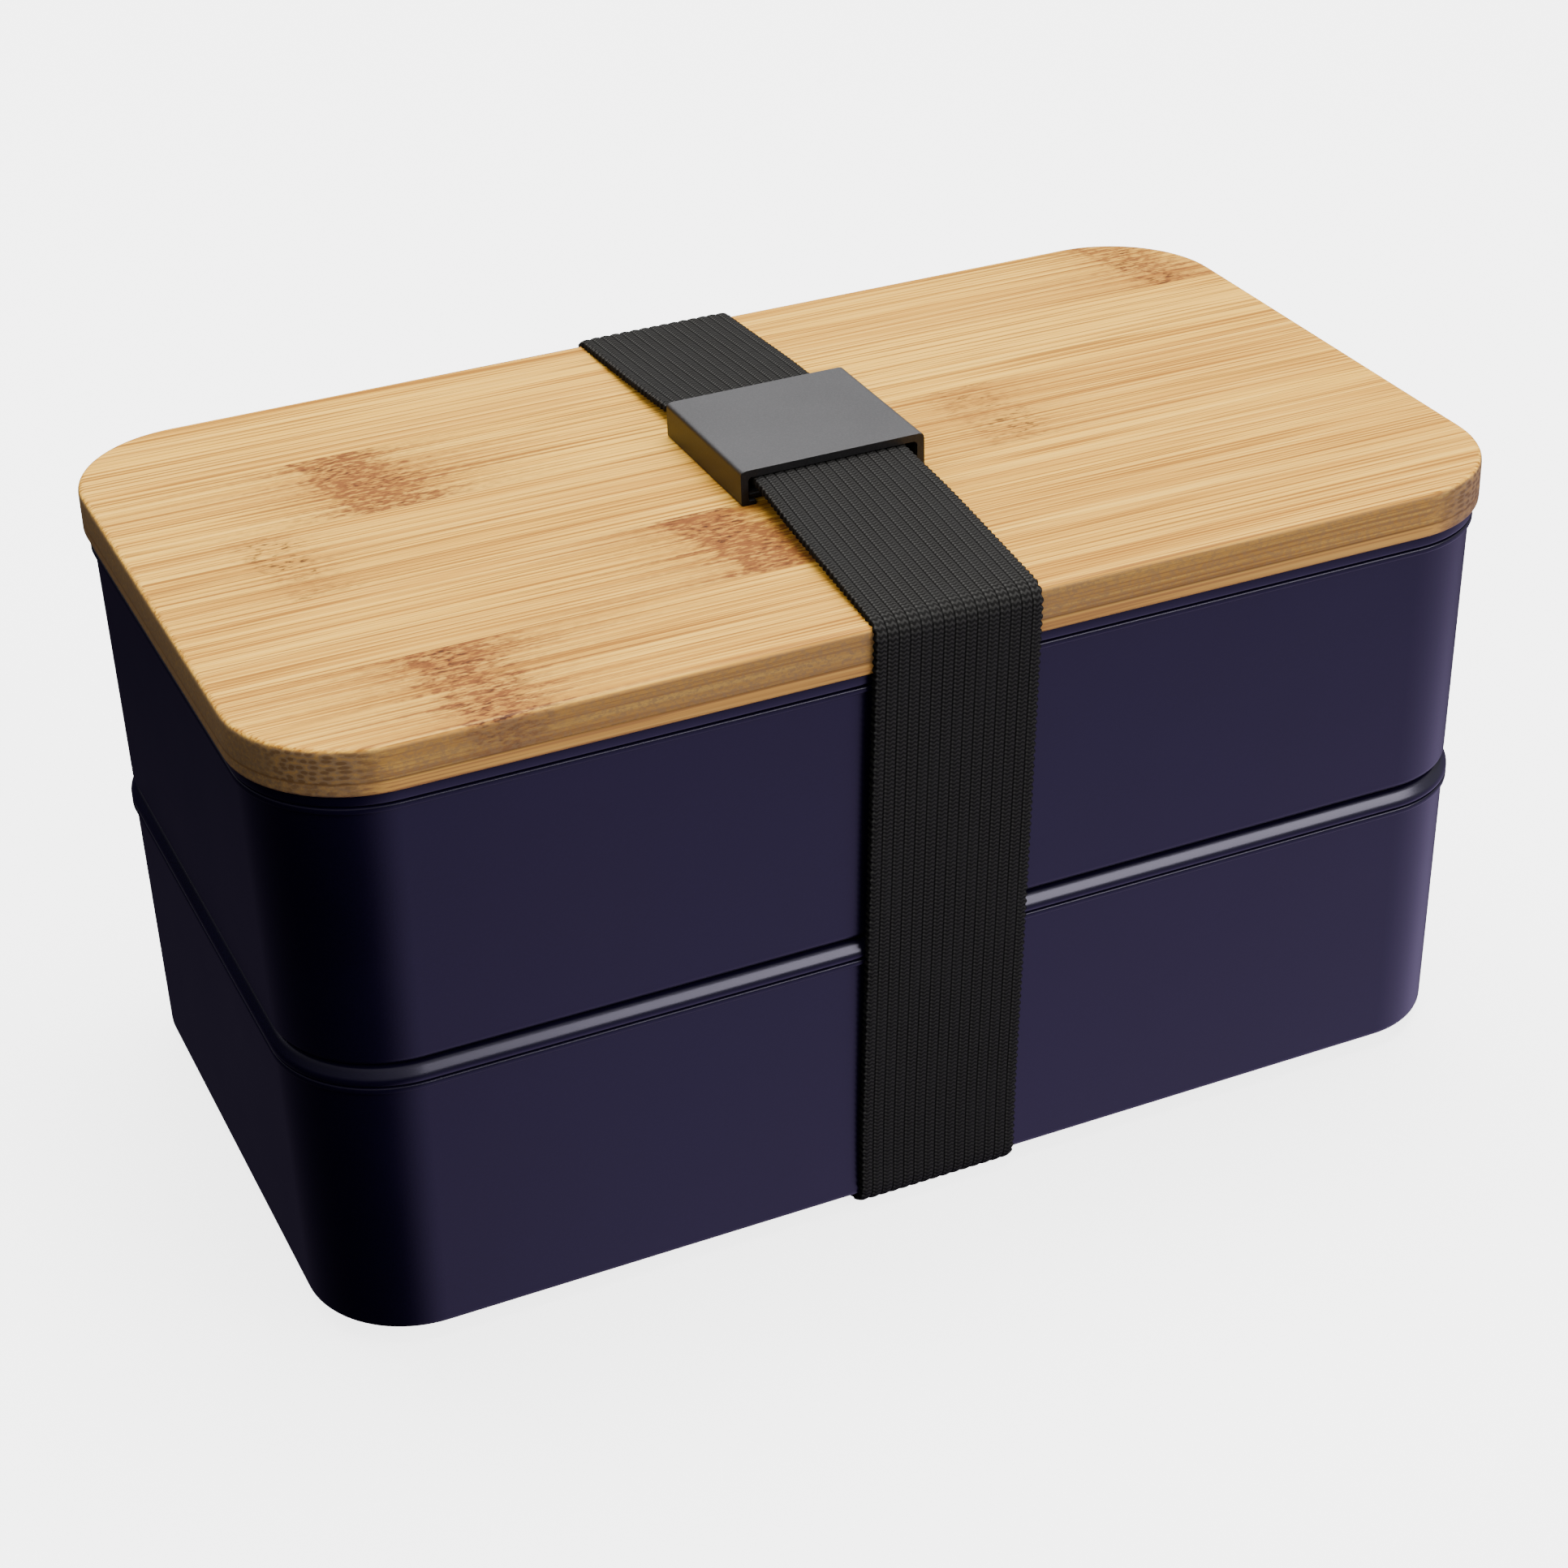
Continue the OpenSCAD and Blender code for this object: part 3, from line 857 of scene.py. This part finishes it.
def moulded_material(name, color, roughness, grain, specular, tint=(1, 1, 1), dark_sides=False):
    """Moulded plastic: a faint cloudy colour, a fine texture, light scuffs and slightly uneven gloss.

    With dark_sides, faces that look sideways or down get painted shade: their colour is darker and their
    gloss less.
    """
    sh = material_nodes(name)
    place = sh.place()
    cloud = sh.noise(place, 38.0)
    texture = sh.noise(place, 4200.0, 2.0, 0.6)
    waves = sh.noise(place, 55.0, 1.0)
    scuffs = sh.noise(place, (60, 60, 1400), 4.0, 0.7)
    shade = sh.mix(sh.band(cloud, 0.3, 0.7), scaled(color, 0.85), scaled(color, 1.12))
    shade = sh.mix(sh.band(texture, 0.4, 0.75, 0, grain), shade, scaled(color, 2.2))
    rough = sh.sum(sh.product(cloud, 0.08), sh.band(scuffs, 0.6, 0.8, 0, 0.03), roughness)
    if dark_sides:
        up = sh.parts(sh.node("ShaderNodeNewGeometry").outputs["Normal"])[2]
        # Painted shade: faces that look sideways or down are darkened and lose gloss
        painted_side_shade = sh.band(up, 0.2, 0.95, 0.25, 1.0)
        shade = sh.mix(painted_side_shade, (0, 0, 0), shade)
        specular = sh.product(painted_side_shade, specular)
    sh.set(Base_Color=shade, Roughness=rough, Specular_IOR_Level=specular, Specular_Tint=(*tint, 1))
    large = sh.bump(waves, 0.1, 0.5 * MM)
    sh.set(Normal=sh.bump(texture, 0.3 * grain + 0.03, 0.05 * MM, large))
    return sh.owner


# Colours of the elastic, from the gaps between its stitches to its pale thread; the colour of the gaps and
# that of the rib grooves are painted shade
STITCH_GAP_SHADE = (0.013, 0.0125, 0.012)
STITCH_TOP = (0.036, 0.035, 0.0335)
PALE_THREAD = (0.09, 0.088, 0.084)
RIB_GROOVE_SHADE = (0.002, 0.002, 0.002)
FUZZ = (0.05, 0.049, 0.047)
FADED = (0.03, 0.03, 0.03)

# The length of a stitch in centimetres, its half waves across each rib, how far they bend it, and how far the
# pale thread lies from the groove, the last two as angles
STITCH_LENGTH = 0.062
STITCH_WAVES = 4.0
STITCH_BEND = 1.1
THREAD_OFFSET = 0.42


def elastic_material():
    """Ribbed knitted elastic: rows of small stitches, a pale thread beside each groove, and fine fuzz, with
    painted shade in the gaps between stitches and in the grooves between ribs.
    """
    sh = material_nodes("elastic")
    uv = sh.node("ShaderNodeUVMap", uv_map="along_band").outputs[0]
    across, along, _ = sh.parts(uv)
    low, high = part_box("band_front_end")
    pitch = (high.x - low.x) * UV_PER_METRE / RIB_COUNT
    turn = sh.product(sh.sum(across, pitch * RIB_COUNT / 2), math.pi / pitch)
    rib = sh.math("ABSOLUTE", sh.math("SINE", turn))
    thread = sh.math("ABSOLUTE", sh.math("SINE", sh.sum(turn, -THREAD_OFFSET)))
    bend = sh.product(sh.math("SINE", sh.product(turn, STITCH_WAVES)), STITCH_BEND)
    stitch = sh.math("SINE", sh.sum(sh.product(along, 2 * math.pi / STITCH_LENGTH), bend))
    raised = sh.band(stitch, -0.7, 0.8)
    fuzz = sh.noise(uv, (150, 150, 1), 3.0, 0.7)
    blotch = sh.noise(uv, (1.6, 0.8, 1))
    broken = sh.product(sh.band(stitch, -0.3, 0.8, 0.25, 1.0), sh.band(fuzz, 0.4, 0.62, 0.3, 0.95))
    pale = sh.product(sh.band(thread, 0.4, 0.08), broken)
    # Painted shade: the gaps between stitches are darker than the stitches' tops
    color = sh.mix(raised, STITCH_GAP_SHADE, STITCH_TOP)
    color = sh.mix(pale, color, PALE_THREAD)
    # Painted shade: the grooves between the ribs are painted nearly black
    color = sh.mix(sh.band(rib, 0.35, 0.1, 0, 0.65), color, RIB_GROOVE_SHADE)
    color = sh.mix(sh.band(fuzz, 0.55, 0.75, 0, 0.5), color, FUZZ)
    color = sh.mix(sh.band(blotch, 0.4, 0.7, 0, 0.2), color, FADED)
    sh.set(Base_Color=color, Roughness=0.9, Specular_IOR_Level=0.03)
    height = sh.sum(sh.product(raised, rib), sh.product(fuzz, 0.5))
    sh.set(Normal=sh.bump(height, 0.8, 0.12 * MM))
    return sh.owner


def silicone_material():
    """Milky silicone that lets a little light through."""
    sh = material_nodes("silicone")
    place = sh.place()
    cloud = sh.noise(place, 120.0, 2.0)
    sh.set(Base_Color=sh.mix(cloud, (0.55, 0.55, 0.53), (0.68, 0.68, 0.66)), Roughness=0.45)
    sh.set(Subsurface_Weight=0.15, Subsurface_Scale=0.002)
    sh.set(Normal=sh.bump(sh.noise(place, 1500.0, 2.0), 0.1, 0.05 * MM))
    return sh.owner


def floor_material():
    """A white shooting table with a glow of its own, so that it shows nearly white."""
    sh = material_nodes("floor")
    grain = sh.noise(sh.place(), 20.0, 2.0)
    sh.set(Base_Color=sh.mix(grain, (0.86, 0.86, 0.86), (0.88, 0.88, 0.88)), Roughness=0.9)
    sh.set(Specular_IOR_Level=0.1, Emission_Color=(1, 1, 1, 1), Emission_Strength=3.4)
    return sh.owner


def dress(obj, material):
    obj.data.materials.clear()
    obj.data.materials.append(material)


# ---------------------------------------------------------------- assembly

def build():
    materials = {
        "bamboo": bamboo_material(),
        "tier": moulded_material(
            "tier_plastic", NAVY, roughness=0.27, grain=0.25, specular=0.5, tint=NAVY_GLOSS,
        ),
        "lid": moulded_material(
            "lid_plastic", NAVY, roughness=0.25, grain=0.12, specular=0.6, tint=NAVY_GLOSS,
        ),
        "buckle": moulded_material(
            "buckle_plastic", CHARCOAL, roughness=0.44, grain=0.5, specular=0.9, dark_sides=True,
        ),
        "elastic": elastic_material(),
        "silicone": silicone_material(),
    }
    rigid = [
        (make_board(), "bamboo", "bamboo", "top_lid", STRIPS + ["bamboo_under_layer"]),
        (make_lid_base(), "lid", "lid_plastic", "top_lid", ["lid_base"]),
        (make_seal("lid_seal"), "silicone", "silicone", "top_lid", ["lid_seal"]),
        (make_tier("upper_tier"), "tier", "tier_plastic", "upper_tier", ["upper_tier"]),
        (make_middle_lid(), "lid", "lid_plastic", "middle_lid", ["middle_lid"]),
        (make_seal("middle_lid_seal"), "silicone", "silicone", "middle_lid", ["middle_lid_seal"]),
        (make_tier("lower_tier"), "tier", "tier_plastic", "lower_tier", ["lower_tier"]),
        (make_buckle_cover(), "buckle", "buckle_plastic", "top_lid", ["buckle_cover"]),
        (make_buckle_base(), "buckle", "buckle_plastic", "top_lid", ["buckle_base"]),
    ]
    for obj, look, slot, body, nodes in rigid:
        dress(obj, materials[look])
        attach(obj, body)
        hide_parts(*nodes)
    make_band(materials)


# ---------------------------------------------------------------- stage

# Where the camera stands, as angles round the box and a distance from a point at its middle, and its lens
CAMERA_AZIMUTH = 23.81
CAMERA_ELEVATION = 29.58
CAMERA_ROLL = -1.715
CAMERA_DISTANCE = 0.4823
CAMERA_HEIGHT = 0.0524
CAMERA_LENS = 74.08
CAMERA_SENSOR = 36
CAMERA_NEAREST = 0.01
CAMERA_SHIFT = (-0.0007, -0.0415)


def make_camera():
    azimuth = math.radians(CAMERA_AZIMUTH)
    elevation = math.radians(CAMERA_ELEVATION)
    roll = math.radians(CAMERA_ROLL)
    flat = math.cos(elevation)
    forward = Vector((math.sin(azimuth) * flat, math.cos(azimuth) * flat, -math.sin(elevation)))
    level = Vector((math.cos(azimuth), -math.sin(azimuth), 0))
    upright = level.cross(forward)
    right = math.cos(roll) * level + math.sin(roll) * upright
    up = math.cos(roll) * upright - math.sin(roll) * level
    turn = Matrix((right, up, -forward)).transposed()
    camera = bpy.data.objects.new("camera", bpy.data.cameras.new("camera"))
    camera.matrix_world = turn.to_4x4()
    camera.location = Vector((0, 0, CAMERA_HEIGHT)) - forward * CAMERA_DISTANCE
    camera.data.lens = CAMERA_LENS
    camera.data.sensor_width = CAMERA_SENSOR
    camera.data.shift_x, camera.data.shift_y = CAMERA_SHIFT
    camera.data.clip_start = CAMERA_NEAREST
    bpy.context.collection.objects.link(camera)
    bpy.context.scene.camera = camera


# The point that the lights look at, and half the floor's side in metres
LIT_POINT = (0, 0, 0.05)
FLOOR_REACH = 6


def softbox(name, place, size, power, glossy=True):
    """A rectangular area light that looks at the box. Without glossy, surfaces don't mirror it."""
    data = bpy.data.lights.new(name, "AREA")
    data.shape = "RECTANGLE"
    data.size, data.size_y = size
    data.energy = power
    light = bpy.data.objects.new(name, data)
    light.location = place
    light.visible_glossy = glossy
    light.rotation_euler = (Vector(LIT_POINT) - Vector(place)).to_track_quat("-Z", "Y").to_euler()
    bpy.context.collection.objects.link(light)


# Where light comes from below, as off a lit table: the way to look, the cosines of the angle from it at which
# the glow starts and is full, and its strength. Then the sky's strength, that of all that lies below it
# outside the glows, and the colour of the light from below.
GLOWS = [
    ((0.78, -0.42, -0.46), 0.35, 0.88, 0.62),
    ((0.0, 0.85, -0.52), 0.3, 1.0, 0.03),
]
SKY_STRENGTH = 0.65
DIM_STRENGTH = 0.008
FROM_BELOW = (0.7, 0.56, 1.0)


def make_world():
    """Soft light from above, weaker from the left, and hardly any from below but the glows."""
    world = Nodes(bpy.data.worlds.new("studio"), "Background")
    way = world.node("ShaderNodeTexCoord").outputs["Generated"]
    rightward, _, height = world.parts(way)
    from_right = world.band(rightward, -0.8, 0.1, 0.3, 1.0)
    strength = world.product(world.band(height, 0.05, 0.6, DIM_STRENGTH, SKY_STRENGTH), from_right)
    deeper = world.band(height, -0.44, -0.58, 0.84, 1.85)
    for direction, start, full, glow in GLOWS:
        toward = world.vector_math("DOT_PRODUCT", way, direction).outputs["Value"]
        glowing = world.product(world.band(toward, start, full, 0, glow), deeper)
        strength = world.sum(strength, glowing)
    color = world.mix(world.band(height, -0.2, 0.1), FROM_BELOW, (1, 1, 1))
    world.set(Color=color, Strength=strength)
    bpy.context.scene.world = world.owner


def make_stage():
    bm = bmesh.new()
    bmesh.ops.create_grid(bm, x_segments=8, y_segments=8, size=FLOOR_REACH)
    floor = finish_mesh("floor", bm)
    floor.data.materials.append(floor_material())
    floor.visible_diffuse = False
    floor.visible_glossy = False
    make_world()
    softbox("overhead", (0.2, 0.2, 1.3), (1.0, 0.9), 29)
    softbox("front_right", (0.65, -0.95, 0.7), (0.9, 0.45), 10)
    softbox("front_left", (-0.8, -0.8, 0.8), (0.5, 0.5), 3, glossy=False)
    softbox("back", (-0.5, 1.1, 0.7), (0.6, 0.6), 6, glossy=False)


build()
make_stage()
make_camera()
